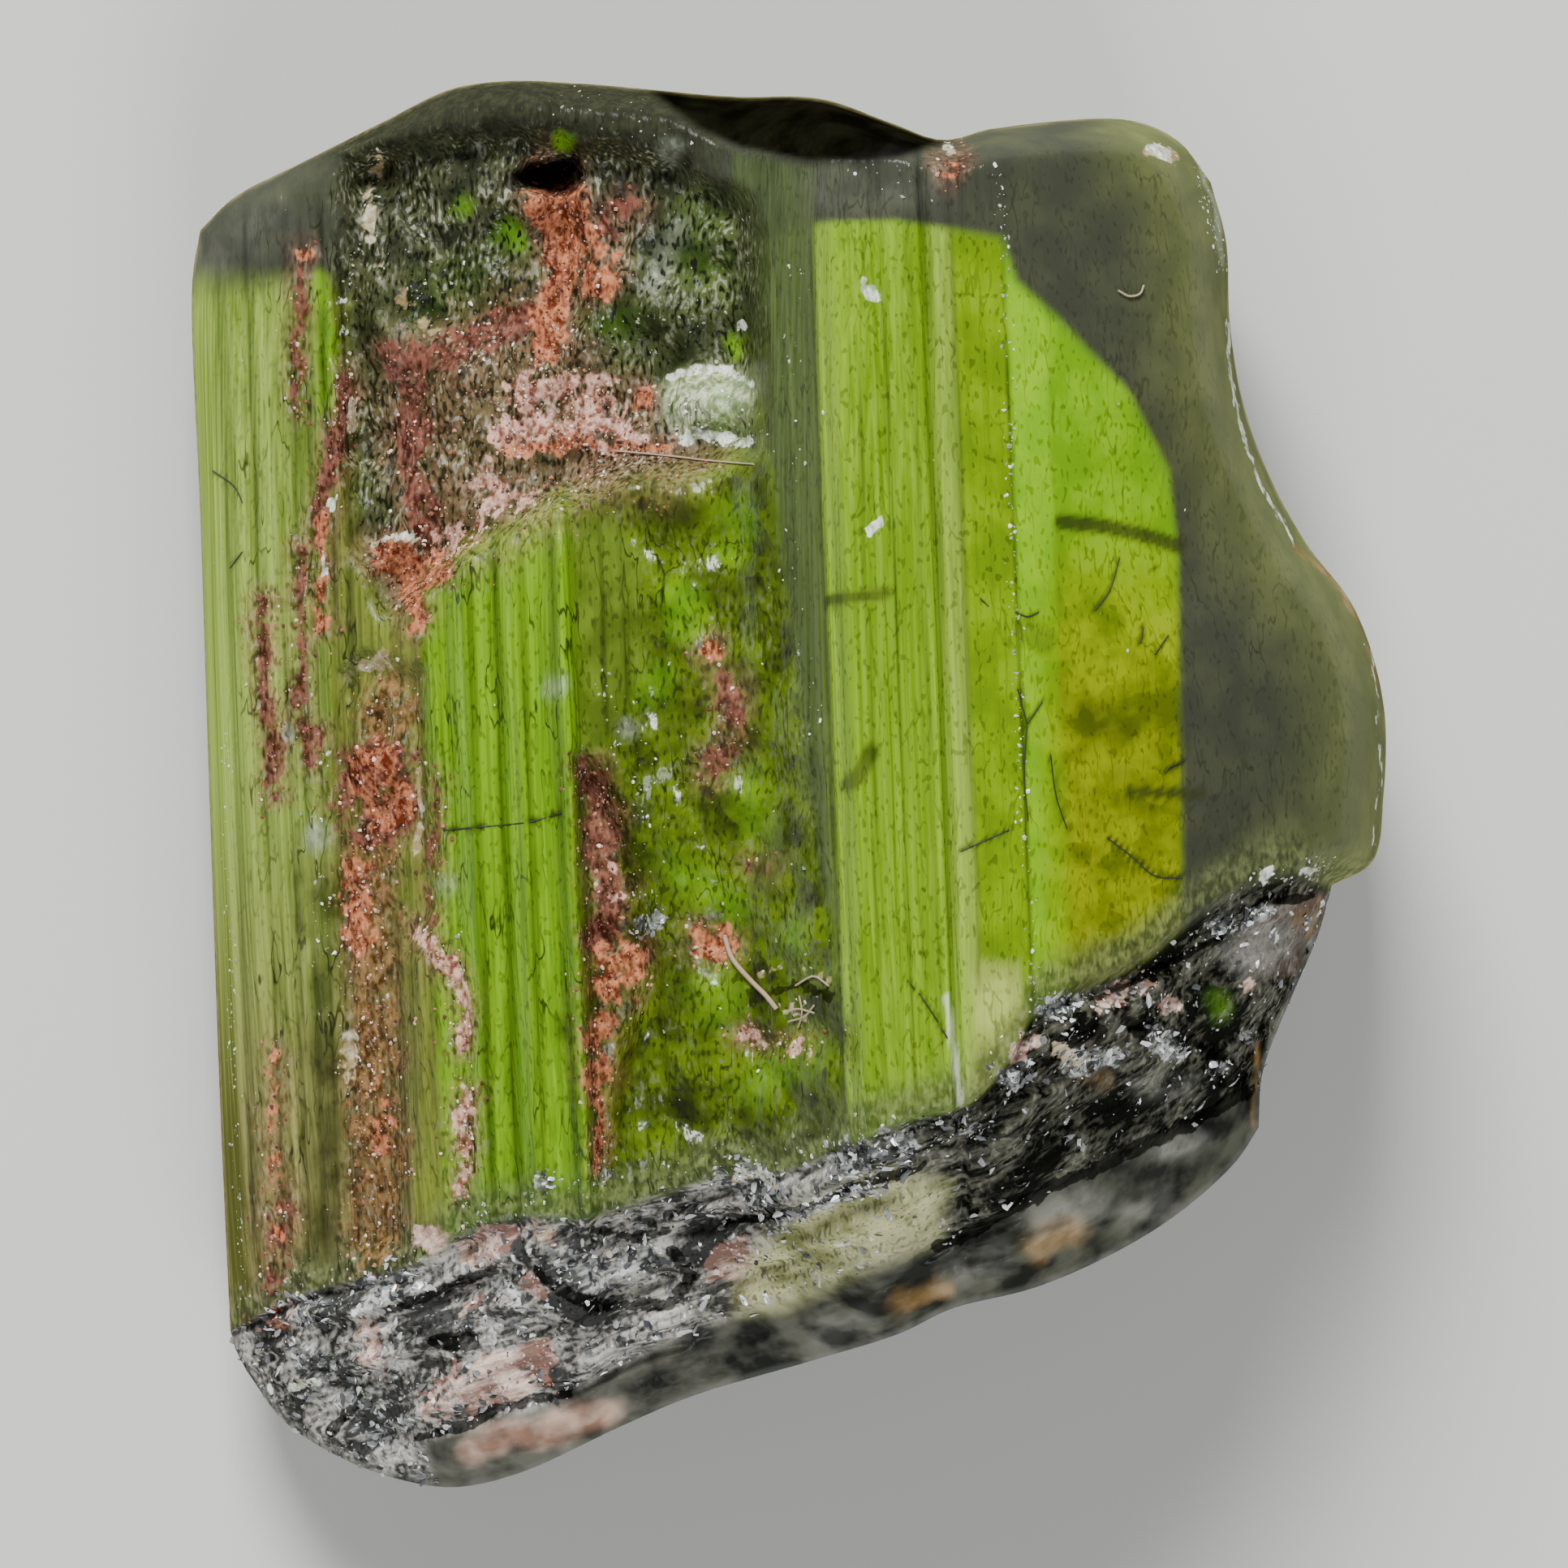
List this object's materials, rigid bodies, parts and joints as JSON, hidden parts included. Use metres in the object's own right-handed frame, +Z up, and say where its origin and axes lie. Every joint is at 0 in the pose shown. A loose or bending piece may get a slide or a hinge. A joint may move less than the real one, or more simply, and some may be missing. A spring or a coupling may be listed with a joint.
{
  "type": "tourmaline crystal",
  "caption": "Water-worn piece of a striated yellow-green tourmaline prism with an etched hollow, lying on a flat prism face, its lower end broken off rough and dark.",
  "frame": {"origin": "middle of the stone's box, at the height of the flat worn face that it rests on", "axes": "+X across the prism towards the smooth flank, +Y along the prism away from the broken end, +Z up from the resting face through the striated faces"},
  "size_m": [0.0132, 0.0156, 0.0074],
  "materials": {
    "tourmaline": "glassy worn crystal, striated along the prism, smoky at the rims and rough and dark at the broken end",
    "iron_clay": "dull granular crust of rust-stained clay in the hollows",
    "rock_grains": "pink, white and silvery grains of the host rock stuck in the surface"
  },
  "bodies": {
    "root": {"tourmaline_crystal": "tourmaline"}
  },
  "joints": []
}
